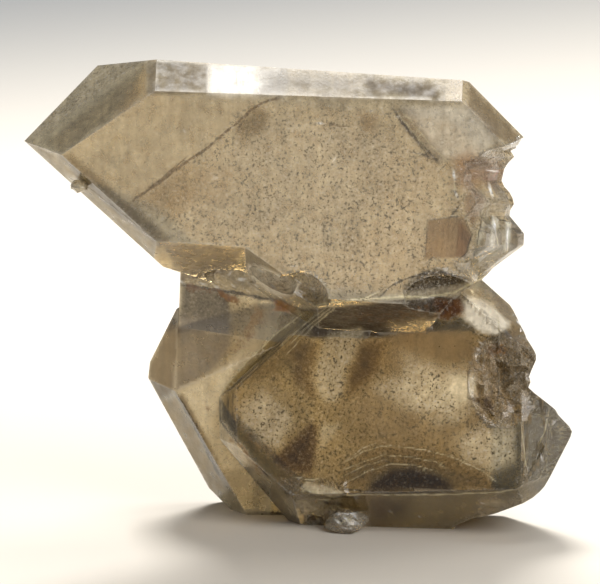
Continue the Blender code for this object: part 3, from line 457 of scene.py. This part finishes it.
def smooth(low, high, x):
    t = np.clip((x - low) / (high - low), 0, 1)
    return t * t * (3 - 2 * t)


def noiseAt(points, size, seed):
    return np.array([noise.noise(Vector(p / (size * mm)) + Vector((seed, 0, 0))) for p in points])


# two noises side by side, to shift right and up
def driftAt(points, size, seeds):
    return np.stack([noiseAt(points, size, seed) for seed in seeds], axis=1)


# which crystal a point belongs to: its share in each
def crystalShares(points, flat, back):
    soft = seams["soft"]
    parting = seams["height"] + seams["backwards"] * (back - seams["backFrom"])
    parting += seams["across"] * (flat[:, 0] - seams["acrossFrom"])
    high = points[:, 2] / mm - photo["zero"].z
    upper = smooth(-soft, soft, high - parting)
    rights, ups = zip(*seams["side"])
    seam = np.interp(flat[:, 1], ups, rights)
    side = smooth(-soft, soft, seam - flat[:, 0]) * (1 - upper)
    return {"upper": upper, "lower": 1 - upper - side, "side": side}


# faces near a line get a finer grid, but for those that look backwards
def refineAtLines(bm):
    faces = [f for f in bm.faces if f.normal.y < 0.3]
    flat = photoPlaces(np.array([f.calc_center_median() for f in faces]))[0]
    close = np.zeros(len(faces), bool)
    for look in lineWork.values():
        for width, *path in look["lines"]:
            close |= pathDistance(flat, path)[0] < width * 0.5 + painting["near"]
    edges = {e for f, near in zip(faces, close) if near for e in f.edges}
    bmesh.ops.subdivide_edges(bm, edges=list(edges), cuts=painting["cuts"], use_grid_fill=True)
    bmesh.ops.triangulate(bm, faces=[f for f in bm.faces if len(f.verts) > 3])


# a face attribute averaged onto the points
def facesToPoints(mesh, name):
    faceValues = np.zeros(len(mesh.polygons))
    mesh.attributes[name].data.foreach_get("value", faceValues)
    corners = np.zeros(len(mesh.loops), int)
    mesh.loops.foreach_get("vertex_index", corners)
    sizes = np.zeros(len(mesh.polygons), int)
    mesh.polygons.foreach_get("loop_total", sizes)
    total = np.bincount(corners, np.repeat(faceValues, sizes), len(mesh.vertices))
    return total / np.maximum(1, np.bincount(corners, minlength=len(mesh.vertices)))


# 1 on the crystal's sharp edges, 0 elsewhere: they are painted pale, as wear and as a painted edge
# highlight
def paleAndHighlightEdges(mesh):
    bm = bmesh.new()
    bm.from_mesh(mesh)
    wear = np.zeros(len(bm.verts))
    for edge in bm.edges:
        if edge.is_manifold and edge.calc_face_angle() > math.radians(quartz["wornAngle"]):
            wear[edge.verts[0].index] = wear[edge.verts[1].index] = 1.0
    bm.free()
    return wear


def pointVectors(mesh, name):
    flat = np.zeros(len(mesh.vertices) * 3)
    mesh.vertices.foreach_get(name, flat)
    return flat.reshape(-1, 3)


# tone and the other looks of every point, kept as attributes that the material reads
def paintCrystal(mesh):
    points, normals = pointVectors(mesh, "co"), pointVectors(mesh, "normal")
    flat, back = photoPlaces(points)
    shares = crystalShares(points, flat, back)
    tone = sum(shares[k][:, None] * np.array(linear(c["tone"])[:3]) for k, c in crystals.items())
    values = {n: sum(shares[k] * c[n] for k, c in crystals.items()) for n in ("haze", "frost", "specks")}
    front = smooth(painting["awayFrom"], painting["awayTo"], normals @ np.array(towardsCamera))
    seeds = painting["seeds"]
    for key, kept in unseen.items():
        values[key] *= kept + (1 - kept) * front
    wobble = driftAt(points, painting["wobbleSize"], seeds["wobble"]) * painting["wobble"]
    for name, soft, colour, share, haze, frost, specks, outline in frontZones:
        mask = smooth(-soft, soft, insideBy(flat + wobble * min(1, soft), outline)) * front
        tone += (mask * share)[:, None] * (np.array(linear(colour)[:3]) - tone)
        for key, value in (("haze", haze), ("frost", frost), ("specks", specks)):
            values[key] += mask * share * (value - values[key])
    drift = driftAt(points, painting["wanderSize"], seeds["wander"]) * painting["wander"]
    uneven = 1 + painting["uneven"] * noiseAt(points, painting["unevenSize"], seeds["uneven"])
    for look in lineWork.values():
        for width, *path in look["lines"]:
            far, ending = pathDistance(flat + drift, path)
            mask = smooth(-painting["outer"], painting["inner"], width * 0.5 * uneven - far)
            mask = mask * smooth(painting["fadeFrom"], painting["fadeTo"], ending) * front * look["share"]
            tone += mask[:, None] * (np.array(linear(look["tone"])[:3]) - tone)
            values["haze"] += mask * (look["haze"] - values["haze"])
    for key, zones in (("rust", rustZones), ("glints", glintZones)):
        values[key] = np.zeros(len(points))
        for name, soft, amount, outline in zones:
            mask = smooth(-soft, soft, insideBy(flat + wobble, outline)) * front
            values[key] = np.maximum(values[key], mask * amount)
    values["edge"] = paleAndHighlightEdges(mesh)
    values["broken"] = np.maximum(facesToPoints(mesh, "brokenFace"), values["glints"])
    values["frost"] *= 1 - painting["glassy"] * values["glints"]
    layer = mesh.attributes.new("tone", "FLOAT_COLOR", "POINT")
    layer.data.foreach_set("color", np.concatenate([tone, np.ones((len(points), 1))], axis=1).ravel())
    for key, value in values.items():
        mesh.attributes.new(key, "FLOAT", "POINT").data.foreach_set("value", value)


# patterns of the natural faces: how many to a millimetre, detail, roughness of the noise
patterns = {
    "clouds": (0.24, 5, 0.62),  # smoky clouds of about 4 mm
    "specks": (3.6, 3, 0.7),  # inclusions of 0.2 mm, most real ones are finer than a pixel
    "stains": (1.5, 6, 0.72),  # iron stains in spots of 0.6 mm
    "mottle": (1.0, 6, 0.72),  # milkiness in patches of about 1 mm
    "wear": (0.9, 4, 0.5),  # gloss changes over about 1 mm
    "pits": (2.6, 4, 0.65),  # etch pits of 0.4 mm, drawn coarser than the finest real ones
}

# what becomes of them: source, its range, the range that it is given
levels = {
    "cloudy": ("clouds", 0.33, 0.67, 0.80, 1.16),
    "streaky": ("growth lines", 0.32, 0.68, 0.88, 1.12),
    "dark": ("specks", 0.545, 0.60, 0, 0.95),
    "light": ("specks", 0.45, 0.35, 0, 0.6),
    "stained": ("stains", 0.35, 0.72, 0, 1),
    "patchy": ("mottle", 0.3, 0.7, 0.6, 1.4),
    "worn": ("wear", 0.3, 0.7, 0.6, 1.4),
    "gloss": ("frost", 0.26, 0.45, 0.6, 0.05),
}

skin = {
    # growth lines 0.6 mm apart, drawn coarser than the finest real ones: to a mm across and along
    "lines": 1.7, "alongLines": 0.09, "lean": -4,
    # broken quartz: shell-like steps about 1 mm across, with rings
    "shells": 0.9, "rings": 26.0, "ringHeight": 0.06,
    "lineHeight": 0.6, "fineRelief": 0.06, "brokenRelief": 0.5,  # the last two in mm
    # the worn edge colour is also a painted edge highlight
    "darkSpeck": "#33270F", "lightSpeck": "#FBF4E4", "wornEdge": "#F4EAD6", "wornAndHighlightEdgeShare": 0.35,
    "rustLight": "#9C6C24", "rustDark": "#5A3008",
    "speckHaze": 0.7, "rustHaze": 0.8,  # how solid specks and stains are
}


# natural growth faces of quartz: glassy to frosted, milky under the skin where the crystal is hazy,
# with fine pits and growth lines; the tint deepens with thickness, as in smoked glass
def naturalFaceMaterial():
    mat = newMaterial("smoky quartz natural faces")
    tree = mat.node_tree
    tree.nodes.clear()
    coords = node(tree, "TexCoord").outputs["Object"]
    tone = node(tree, "Attribute", attribute_name="tone").outputs["Color"]
    painted = {}
    for name in ("haze", "frost", "specks", "rust", "edge", "broken"):
        painted[name] = node(tree, "Attribute", attribute_name=name).outputs["Fac"]
    sources = {"frost": painted["frost"]}
    for name, (perMm, detail, rough) in patterns.items():
        sources[name] = node(tree, "TexNoise", {
            "Vector": coords, "Scale": perMm / mm, "Detail": detail, "Roughness": rough})
    along = skin["alongLines"] / mm
    lines = node(tree, "Mapping", {
        "Vector": coords, "Rotation": (0, math.radians(skin["lean"]), 0),
        "Scale": (skin["lines"] / mm, along, along)})
    sources["growth lines"] = node(tree, "TexNoise", {"Vector": lines, "Scale": 1.0, "Detail": 3.0})
    level = {}
    for name, (source, low, high, least, most) in levels.items():
        level[name] = node(tree, "MapRange", {
            "Value": sources[source], "From Min": low, "From Max": high, "To Min": least, "To Max": most})
    times, timesAdd = {"operation": "MULTIPLY"}, {"operation": "MULTIPLY_ADD"}
    # the tone, clouded, and over it inclusions, pale worn edges that are also a painted edge highlight,
    # and iron stains that grow together
    shades = node(tree, "Math", {0: level["cloudy"], 1: level["streaky"]}, **times)
    colour = node(tree, "VectorMath", {0: tone, 1: shades}, **times)
    darkShare = node(tree, "Math", {0: level["dark"], 1: painted["specks"]}, **times)
    lightShare = node(tree, "Math", {0: level["light"], 1: painted["specks"]}, **times)
    wornAndHighlightEdgeShare = node(tree, "Math", {0: painted["edge"], 1: skin["wornAndHighlightEdgeShare"]}, **times)
    rusty = node(tree, "Math", {0: painted["rust"], 1: level["stained"]}, operation="ADD")
    rustSpots = node(tree, "MapRange", {"Value": rusty, "From Min": 0.82, "From Max": 1.12})
    rustShare = node(tree, "Math", {0: rustSpots, 1: painted["rust"]}, **times)
    rustTone = node(tree, "Mix", {
        0: level["stained"], 6: linear(skin["rustLight"]), 7: linear(skin["rustDark"])}, data_type="RGBA")
    layers = [
        (darkShare, linear(skin["darkSpeck"])), (lightShare, linear(skin["lightSpeck"])),
        (wornAndHighlightEdgeShare, linear(skin["wornEdge"])), (rustShare, rustTone)]
    for share, over in layers:
        colour = node(tree, "Mix", {0: share, 6: colour, 7: over}, data_type="RGBA")
    # what is hazy, speckled or stained lets less light through
    milky = node(tree, "Math", {0: painted["haze"], 1: level["patchy"]}, **times)
    milky = node(tree, "Math", {0: darkShare, 1: skin["speckHaze"], 2: milky}, **timesAdd)
    milky = node(tree, "Math", {0: rustShare, 1: skin["rustHaze"], 2: milky}, use_clamp=True, **timesAdd)
    through = node(tree, "Math", {0: 1.0, 1: milky}, operation="SUBTRACT")
    # the relief of the growth lines with pits, and of the broken shells
    relief = node(tree, "Math", {
        0: sources["growth lines"], 1: skin["lineHeight"], 2: sources["pits"]}, **timesAdd)
    fine = node(tree, "Bump", {"Height": relief, "Strength": 0.4, "Distance": skin["fineRelief"] * mm})
    shell = node(tree, "TexVoronoi", {
        "Vector": coords, "Scale": skin["shells"] / mm, "Detail": 2.0, "Roughness": 0.6}, feature="F1")
    turns = node(tree, "Math", {0: shell, 1: skin["rings"]}, **times)
    ring = node(tree, "Math", {0: turns}, operation="SINE")
    rings = node(tree, "Math", {0: ring, 1: skin["ringHeight"], 2: shell}, **timesAdd)
    shells = node(tree, "Math", {0: rings, 1: painted["broken"]}, **times)
    bump = node(tree, "Bump", {
        "Height": shells, "Strength": 0.8, "Distance": skin["brokenRelief"] * mm, "Normal": fine})
    roughness = node(tree, "Math", {0: painted["frost"], 1: level["worn"]}, **times)
    # etched faces are rougher and have lost their gloss
    shader = node(tree, "BsdfPrincipled", {
        "Base Color": colour,
        "IOR": quartz["ior"],
        "Roughness": roughness,
        "Transmission Weight": through,
        "Coat Weight": level["gloss"],
        "Coat Roughness": 0.05,
        "Normal": bump,
    })
    smoke = node(tree, "VolumeAbsorption", {"Color": quartz["smoke"], "Density": quartz["density"]})
    node(tree, "OutputMaterial", {"Surface": shader, "Volume": smoke})
    return mat


def gridCuts(bm):
    cell = quartz["cell"] * 1
    for axis, step in ((0, cell), (2, cell), (1, quartz["cellDeep"])):
        low = min(v.co[axis] for v in bm.verts)
        high = max(v.co[axis] for v in bm.verts)
        normal = Vector([float(i == axis) for i in range(3)])
        for i in range(int((high - low) / (step * mm))):
            everything = bm.verts[:] + bm.edges[:] + bm.faces[:]
            at = normal * (low + (i + 0.5) * step * mm)
            bmesh.ops.bisect_plane(bm, geom=everything, dist=0.0001 * mm, plane_co=at, plane_no=normal)


def buildCrystal():
    bm = bmesh.new()
    bm.from_mesh(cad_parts["quartz_cluster"].data)
    bmesh.ops.remove_doubles(bm, verts=bm.verts, dist=0.001 * mm)
    bmesh.ops.dissolve_limit(bm, angle_limit=math.radians(0.3), verts=bm.verts, edges=bm.edges)
    broken = bm.faces.layers.float.new("brokenFace")
    for face in bm.faces:
        face[broken] = 1.0 if face.calc_area() < quartz["brokenBelow"] * mm * mm else 0.0
    worn = [e for e in bm.edges if e.is_manifold and e.calc_length() > quartz["longEdge"] * mm
            and e.calc_face_angle() > math.radians(quartz["sharp"])]
    rim = bm.faces.layers.int.new("rim")
    made = bmesh.ops.bevel(bm, geom=worn, offset=quartz["wornEdge"] * mm, offset_type="OFFSET",
                           segments=1, profile=0.5, affect="EDGES", clamp_overlap=True)
    for face in made["faces"]:
        face[rim] = 1
    gridCuts(bm)
    bmesh.ops.triangulate(bm, faces=bm.faces[:])
    refineAtLines(bm)
    chip = bm.faces.layers.int.new("chip")
    flat = photoPlaces(np.array([f.calc_center_median() for f in bm.faces]))[0]
    for face, inChip in zip(bm.faces, insideBy(flat, quartz["chip"]) > 0):
        face.smooth = True
        face[chip] = int(inChip)
    for edge in bm.edges:
        kinds = {f[rim] for f in edge.link_faces}
        limit = quartz["chipSharp"] if any(f[chip] for f in edge.link_faces) else quartz["sharp"]
        edge.smooth = len(kinds) == 1 and edge.calc_face_angle(0) < math.radians(limit)
    mesh = bpy.data.meshes.new("quartz")
    bm.to_mesh(mesh)
    bm.free()
    paintCrystal(mesh)
    mesh.materials.append(naturalFaceMaterial())
    print("crystal:", len(mesh.polygons), "triangles")
    return newObject("quartz", mesh)


cluster = buildCrystal()
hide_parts("quartz_cluster")
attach(cluster, "root")

# what lies in the crystals, as thin see-through sheets, some of them dark sheets of painted shade: each
# has its colour, how solid it is at most, the size of its patches in mm and their contrast
insideLooks = {
    "painted dense shade": {"colour": "#1E1206", "solid": 0.93, "patch": 1.6, "contrast": 0.30},
    "brown smoke and painted shade": {"colour": "#4A3315", "solid": 0.75, "patch": 1.2, "contrast": 0.25},
    "iron stained healed crack": {"colour": "#6B4E20", "solid": 0.8, "patch": 0.5, "contrast": 0.18},
    "milky veil": {"colour": "#EFE6D2", "solid": 0.55, "patch": 0.8, "contrast": 0.16},
    "open crack seen edge on": {"colour": "#2C2312", "solid": 0.75, "patch": 0.6, "contrast": 0.25},
}

# name, look, depth under the front in mm, tilt, bend, outline
insideSheets = [
    # painted shade: darkBase, darkTriangle, darkColumn and brownCorner are dark sheets where the lower
    # crystal reflects dark inside; phantomOuter is a phantom in the quartz
    ("darkBase", "painted dense shade", 1.2, (0, 0.5), 0.4, [6, 4.66, 6.8, 5.76, 9.1, 7.3, 11.65, 7.5,
     14, 6.8, 15.8, 5.6, 15.2, 4.66]),
    ("darkTriangle", "brown smoke and painted shade", 1.6, (0.1, 0.1), 0.4, [1.3, 12, 2, 11.2, 1.8, 9.2, 1.3, 6.4,
     -0.7, 6.7, -2.9, 8.1]),
    ("phantomOuter", "brown smoke and painted shade", 3, (0, 0.4), 0.5, [3.5, 5.4, 4.3, 7, 7, 8.5, 9.6, 9.1, 12.5, 8.7,
     15.9, 7.5, 18.5, 6.2, 20, 4.9]),
    ("darkColumn", "brown smoke and painted shade", 2.6, (0.1, 0), 0.6, [6.1, 19.8, 8.7, 20, 7.8, 17, 5.6, 14.6,
     4.7, 13.5, 5, 16.6]),
    ("brownCorner", "brown smoke and painted shade", 2.2, (0, 0), 0.6, [-1.2, 20.2, 2, 20.4, 1.2, 16.5, 1.6, 13.5,
     -0.8, 15.6, -2.4, 17.6]),
    ("brownPatch", "iron stained healed crack", 0.5, (0.1, -0.1), 0.3, [-6.5, 41, -5, 43.4, -3.2, 42.9,
     -3.4, 41, -5.2, 40.2]),
    # painted shade under the upper crystal; contactBrown is partly iron stain too
    ("contactDark", "painted dense shade", 0.7, (0, 0), 0.3, [0, 23, 4, 23.2, 9.95, 23.8, 13.6, 24, 13, 22.2,
     12.16, 21.7, 10.46, 20.9, 8.76, 21.1, 4, 21, 0, 20.8]),
    ("contactBrown", "brown smoke and painted shade", 0.5, (0, 0), 0.3, [12.5, 24, 16.3, 24.2, 16.5, 22.9, 14.88, 22,
     13.7, 22.4, 12.5, 22]),
    # painted shade on the same underside shell
    ("shellDark", "painted dense shade", 0.4, (0, 0), 0.2, [10.5, 25.3, 12.44, 26.7, 14.16, 26.9, 16.8, 26,
     15.2, 25, 10.9, 24.5]),
    ("milkVeilLeft", "milky veil", 1.6, (0, 0), 0.6, [-23, 38.8, -15.5, 43.8, -5.5, 43.6, -9.5, 39.5,
     -17, 33.8, -20, 34.6]),
    ("milkVeilMiddle", "milky veil", 2.4, (0, 0), 1, [-4, 42.6, 9, 42, 12, 33, 4, 26, -8, 30.4, -13, 32]),
    ("featherLong", "open crack seen edge on", 0.15, (0, 0), 0.05, [9, 43.4, 10, 42.5, 11.8, 40.3,
     13.4, 38.3, 14.4, 37.4, 13, 38.2, 11, 40.4, 9.8, 41.9]),
]

sheetShape = {
    "cell": 0.3, "margin": 0.2,
    "ragged": 0.25, "raggedPerMm": 1.3,  # the edge's fraying
    "bendPerMm": 0.35, "phase": 1.7,
    "leastDepth": 0.08,  # no sheet comes nearer to the skin
    "fade": 0.25, "leastFade": 0.4,  # the edge fades over this share of the width, at least this far
    "rayFrom": 0.05,  # metres in front of the crystal
}


# gives the point at a depth under the front, as the photo sees it
def depthFinder(obj):
    tree = BVHTree.FromObject(obj, bpy.context.evaluated_depsgraph_get())
    inward = -Vector(towardsCamera)

    def under(right, up, deep):
        hit = tree.ray_cast(place(right, up, 0) - inward * sheetShape["rayFrom"], inward)[0]
        return None if hit is None else hit + inward * deep * mm
    return under


def buildSheet(name, deep, tilt, bend, outline, material, under):
    corners = np.array(outline).reshape(-1, 2)
    low, high = corners.min(0) - sheetShape["margin"], corners.max(0) + sheetShape["margin"]
    cell = sheetShape["cell"]
    counts = [int(math.ceil((high[i] - low[i]) / cell)) + 1 for i in (0, 1)]
    middle = (low + high) / 2
    spots = [(low[0] + i * cell, low[1] + j * cell) for i in range(counts[0]) for j in range(counts[1])]
    inside = insideBy(np.array(spots), outline)
    reach = max(sheetShape["leastFade"], min(high - low) * sheetShape["fade"])
    grid, points, fades = {}, [], []
    fine, broad = sheetShape["raggedPerMm"], sheetShape["bendPerMm"]
    for index, (right, up) in enumerate(spots):
        ragged = noise.noise(Vector((right * fine, up * fine, len(name)))) * sheetShape["ragged"]
        if inside[index] + ragged < -cell * 0.5:
            continue
        depth = deep + tilt[0] * (right - middle[0]) + tilt[1] * (up - middle[1])
        depth += bend * noise.noise(Vector((right * broad, up * broad, len(name) * sheetShape["phase"])))
        point = under(right, up, max(sheetShape["leastDepth"], depth))
        if point is None:
            continue
        grid[index] = len(points)
        points.append(point)
        fades.append(min(1.0, max(0.0, (inside[index] + ragged) / reach)))
    faces = []
    for i in range(counts[0] - 1):
        for j in range(counts[1] - 1):
            first, second = i * counts[1] + j, (i + 1) * counts[1] + j
            ring = [first, second, second + 1, first + 1]
            if all(k in grid for k in ring):
                faces.append([grid[k] for k in ring])
    mesh = bpy.data.meshes.new(name)
    mesh.from_pydata(points, [], faces)
    mesh.attributes.new("fade", "FLOAT", "POINT").data.foreach_set("value", fades)
    mesh.materials.append(material)
    mesh.shade_smooth()
    piece = newObject(name, mesh)
    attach(piece, "root")


# a see-through sheet: patchy, and fading towards its edge
def sheetMaterial(name, look):
    mat = newMaterial(name)
    tree = mat.node_tree
    coords = node(tree, "TexCoord").outputs["Object"]
    fade = node(tree, "Attribute", attribute_name="fade").outputs["Fac"]
    cloud = node(tree, "TexNoise", {
        "Vector": coords, "Scale": 1.0 / (look["patch"] * mm), "Detail": 6.0, "Roughness": 0.65})
    patches = node(tree, "MapRange", {
        "Value": cloud, "From Min": 0.5 - look["contrast"], "From Max": 0.5 + look["contrast"]})
    edge = node(tree, "Math", {0: fade, 1: patches}, operation="MULTIPLY")
    alpha = node(tree, "Math", {0: edge, 1: look["solid"]}, operation="MULTIPLY")
    feed(tree.nodes["Principled BSDF"], {
        "Base Color": linear(look["colour"]), "Roughness": 0.5, "Alpha": alpha})
    return mat


def buildInside():
    under = depthFinder(cluster)
    materials = {name: sheetMaterial(name, look) for name, look in insideLooks.items()}
    for name, look, deep, tilt, bend, outline in insideSheets:
        buildSheet(name, deep, tilt, bend, outline, materials[look], under)
    print("inside:", len(insideSheets), "sheets")


buildInside()

# inclusions near the faces: sizes in mm, where they lie and how far they tumble out of the face
grains = {
    "darkGrains": {
        "where": "specks", "perMm2": 1.9, "size": 0.07, "deep": 0.22, "tumble": 0.35, "seed": 3,
        "colour": "#2E2312", "roughness": 0.6, "metallic": 0.0},
    "brightFlakes": {
        "where": "specks", "perMm2": 0.7, "size": 0.042, "deep": 0.3, "tumble": 0.9, "seed": 8,
        "colour": "#FFF8EC", "roughness": 0.12, "metallic": 1.0},
    "glintFlakes": {
        "where": "glints", "perMm2": 3.0, "size": 0.07, "deep": 0.3, "tumble": 1.0, "seed": 5,
        "colour": "#FFFDF6", "roughness": 0.15, "metallic": 1.0},
}
grainShape = {
    "corners": 6,
    "nearest": 0.35,  # the least share of the depth
    "least": (0.4, 0.4, 0.4), "most": (1.4, 1.0, 1.0),  # shares of the size
    "tiltLeast": (-1.0, -1.0, -3.14), "tiltMost": (1.0, 1.0, 3.14),
    "stain": "#8A7450", "stainPerMm": 0.7,  # some are browner
}


# flat flakes scattered just under the faces, by a painted attribute
def grainTree():
    tree = bpy.data.node_groups.new("grains under the faces", "GeometryNodeTree")
    face = tree.interface
    sockets = {
        "Geometry": "Geometry", "Density": "Float", "Size": "Float", "Depth": "Float", "Tumble": "Float",
        "Where": "String", "Seed": "Int", "Material": "Material"}
    for name, kind in sockets.items():
        face.new_socket(name, in_out="INPUT", socket_type="NodeSocket" + kind)
    face.new_socket("Geometry", in_out="OUTPUT", socket_type="NodeSocketGeometry")
    given = node(tree, "NodeGroupInput").outputs
    seed = given["Seed"]
    amount = node(tree, "GeometryNodeInputNamedAttribute", {"Name": given["Where"]}, data_type="FLOAT")
    density = node(tree, "Math", {0: amount, 1: given["Density"]}, operation="MULTIPLY")
    points = node(tree, "GeometryNodeDistributePointsOnFaces", {
        "Mesh": given["Geometry"], "Density": density, "Seed": seed}, distribute_method="RANDOM")
    inward = node(tree, "FunctionNodeRandomValue", {
        "Min": grainShape["nearest"], "Max": 1.0, "Seed": seed}, data_type="FLOAT")
    inwardBy = node(tree, "Math", {0: inward, 1: given["Depth"]}, operation="MULTIPLY")
    negative = node(tree, "Math", {0: inwardBy, 1: -1.0}, operation="MULTIPLY")
    offset = node(tree, "VectorMath", {0: points.outputs["Normal"], "Scale": negative}, operation="SCALE")
    moved = node(tree, "GeometryNodeSetPosition", {"Geometry": points, "Offset": offset})
    flake = node(tree, "GeometryNodeMeshCircle", {
        "Vertices": grainShape["corners"], "Radius": given["Size"]}, fill_type="NGON")
    tilt = node(tree, "FunctionNodeRandomValue", {
        0: grainShape["tiltLeast"], 1: grainShape["tiltMost"], "Seed": seed}, data_type="FLOAT_VECTOR")
    tumbled = node(tree, "VectorMath", {0: tilt, "Scale": given["Tumble"]}, operation="SCALE")
    turned = node(tree, "FunctionNodeRotateRotation", {
        "Rotation": points.outputs["Rotation"], "Rotate By": tumbled}, rotation_space="LOCAL")
    size = node(tree, "FunctionNodeRandomValue", {
        0: grainShape["least"], 1: grainShape["most"], "Seed": seed}, data_type="FLOAT_VECTOR")
    placed = node(tree, "GeometryNodeInstanceOnPoints", {
        "Points": moved, "Instance": flake, "Rotation": turned, "Scale": size})
    real = node(tree, "GeometryNodeRealizeInstances", {"Geometry": placed})
    dressed = node(tree, "GeometryNodeSetMaterial", {"Geometry": real, "Material": given["Material"]})
    node(tree, "NodeGroupOutput", {"Geometry": dressed})
    return tree


# dull dark grains that read as dirt, or mirror-bright flakes that glitter
def inclusionMaterial(name, look):
    mat = newMaterial(name)
    tree = mat.node_tree
    coords = node(tree, "TexCoord").outputs["Object"]
    vary = node(tree, "TexNoise", {
        "Vector": coords, "Scale": grainShape["stainPerMm"] / mm, "Detail": 2.0})
    colour = node(tree, "Mix", {
        0: vary, 6: linear(look["colour"]), 7: linear(grainShape["stain"])}, data_type="RGBA")
    feed(tree.nodes["Principled BSDF"], {
        "Base Color": colour, "Roughness": look["roughness"], "Metallic": look["metallic"]})
    return mat


def buildGrains():
    tree = grainTree()
    ids = {item.name: item.identifier for item in tree.interface.items_tree if item.in_out == "INPUT"}
    for name, look in grains.items():
        piece = newObject(name, cluster.data.copy())
        step = piece.modifiers.new("grains", "NODES")
        step.node_group = tree
        step[ids["Density"]] = look["perMm2"] / (mm * mm)
        step[ids["Size"]] = look["size"] * mm
        step[ids["Depth"]] = look["deep"] * mm
        step[ids["Tumble"]] = look["tumble"]
        step[ids["Where"]] = look["where"]
        step[ids["Seed"]] = look["seed"]
        step[ids["Material"]] = inclusionMaterial(name, look)
        bpy.context.view_layer.update()
        evaluated = piece.evaluated_get(bpy.context.evaluated_depsgraph_get())
        made = bpy.data.meshes.new_from_object(evaluated)
        piece.modifiers.clear()
        piece.data = made
        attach(piece, "root")
        print(name, len(made.polygons), "faces")


buildGrains()

# paper floor, in metres: white in front, painted pale grey further back along a slanting line, as painted
# shade where the light falls off
paper = {
    "half": 1.2, "white": "#D8D0C3", "grey": "#6E7071",
    "whiteTo": 0.15, "greyFrom": 0.29, "slant": -0.38, "roughness": 0.9,
}


# matt paper, painted greyer towards the back as painted shade: takes soft shadows and shows no gloss
def buildFloor():
    mesh = bpy.data.meshes.new("floor")
    s = paper["half"]
    mesh.from_pydata([(-s, -s, 0), (s, -s, 0), (s, s, 0), (-s, s, 0)], [], [(0, 1, 2, 3)])
    mat = newMaterial("matt paper painted darker to the back")
    tree = mat.node_tree
    coords = node(tree, "TexCoord").outputs["Object"]
    split = node(tree, "SeparateXYZ", {0: coords})
    slanted = node(tree, "Math", {
        0: split.outputs["X"], 1: paper["slant"], 2: split.outputs["Y"]}, operation="MULTIPLY_ADD")
    fade = node(tree, "MapRange", {
        "Value": slanted, "From Min": paper["whiteTo"], "From Max": paper["greyFrom"],
    }, interpolation_type="SMOOTHSTEP")
    colour = node(tree, "Mix", {
        0: fade, 6: linear(paper["white"]), 7: linear(paper["grey"])}, data_type="RGBA")
    feed(tree.nodes["Principled BSDF"], {"Base Color": colour, "Roughness": paper["roughness"]})
    mesh.materials.append(mat)
    print("floor: paper", 2 * s, "m wide")
    return newObject("floor", mesh)


buildFloor()

# three soft lamps in a dim room, in metres and watts
lamps = {
    # its left edge shows as the bright part of the upper crystal's top strip, brightened further
    # there by a painted highlight
    "overhead": {"at": (0.066, 0.075, 0.25), "aim": (0.066, 0.075, 0.0), "size": 0.15, "watts": 0.26},
    # the key: shines through the crystals and throws the shadow to the front
    "behind": {"at": (-0.03, 0.46, 0.55), "aim": (0.0, 0.0, 0.02), "size": 0.22, "watts": 6.5},
    "front": {"at": (0.24, -0.28, 0.26), "aim": (0.0, 0.0, 0.02), "size": 0.28, "watts": 1.2},
}
room = {"colour": "#F4F6FA", "strength": 0.24}


def pointAt(obj, direction):
    obj.rotation_euler = direction.to_track_quat("-Z", "Y").to_euler()


def buildLight():
    for name, lamp in lamps.items():
        data = bpy.data.lights.new(name, "AREA")
        data.shape = "SQUARE"
        data.size = lamp["size"]
        data.energy = lamp["watts"]
        obj = newObject(name, data)
        obj.location = lamp["at"]
        pointAt(obj, Vector(lamp["aim"]) - obj.location)
    world = bpy.data.worlds.new("soft room")
    bpy.context.scene.world = world
    world.use_nodes = True
    feed(world.node_tree.nodes["Background"], {
        "Color": linear(room["colour"]), "Strength": room["strength"]})
    print("light:", len(lamps), "lamps")


buildLight()

# the photo's camera, without perspective; mm, with aim as right, up, back and clip in metres
cameraLook = {"width": 60.0, "aim": (0.0, 24.8, 10.0), "distance": 200.0, "clip": (0.001, 10)}


def buildCamera():
    data = bpy.data.cameras.new("photo view")
    data.type = "ORTHO"
    data.ortho_scale = cameraLook["width"] * mm
    data.clip_start, data.clip_end = cameraLook["clip"]
    obj = newObject("photo view", data)
    back = Vector(towardsCamera)
    obj.location = place(*cameraLook["aim"]) + back * cameraLook["distance"] * mm
    pointAt(obj, -back)
    bpy.context.scene.camera = obj
    print("camera:", cameraLook["width"], "mm wide")


buildCamera()
bpy.context.scene.view_settings.view_transform = "Standard"
